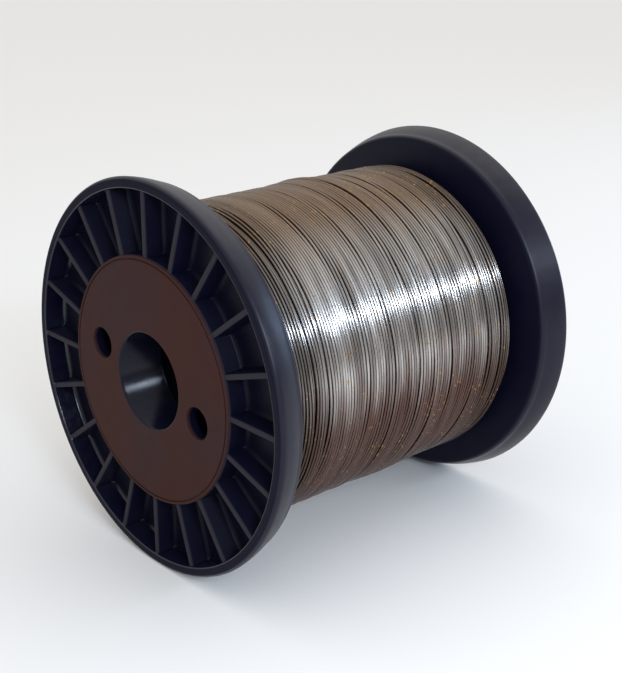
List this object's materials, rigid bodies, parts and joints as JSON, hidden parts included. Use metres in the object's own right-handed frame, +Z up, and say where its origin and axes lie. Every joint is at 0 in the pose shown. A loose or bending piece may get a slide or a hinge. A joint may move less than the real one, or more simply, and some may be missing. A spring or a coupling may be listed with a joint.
{
  "type": "spool of electric fence wire",
  "caption": "Plastic spool with ribbed flanges, a spindle bore and drive holes, wound full with plain round steel wire for an electric fence.",
  "frame": {"origin": "on the floor under the middle of the spool", "axes": "+X along the spool axis, from the left flange to the right one; +Z up"},
  "size_m": [0.2, 0.2, 0.2],
  "materials": {
    "flange_plastic": "moulded, worn satin, dusty on the outer faces",
    "barrel_plastic": "moulded, satin",
    "wire_steel": "drawn zinc-coated steel wire, dull, with specks of rust"
  },
  "bodies": {
    "root": {"left_flange": "flange_plastic", "right_flange": "flange_plastic", "barrel_tube": "barrel_plastic", "wire_winding": "wire_steel"}
  },
  "joints": []
}
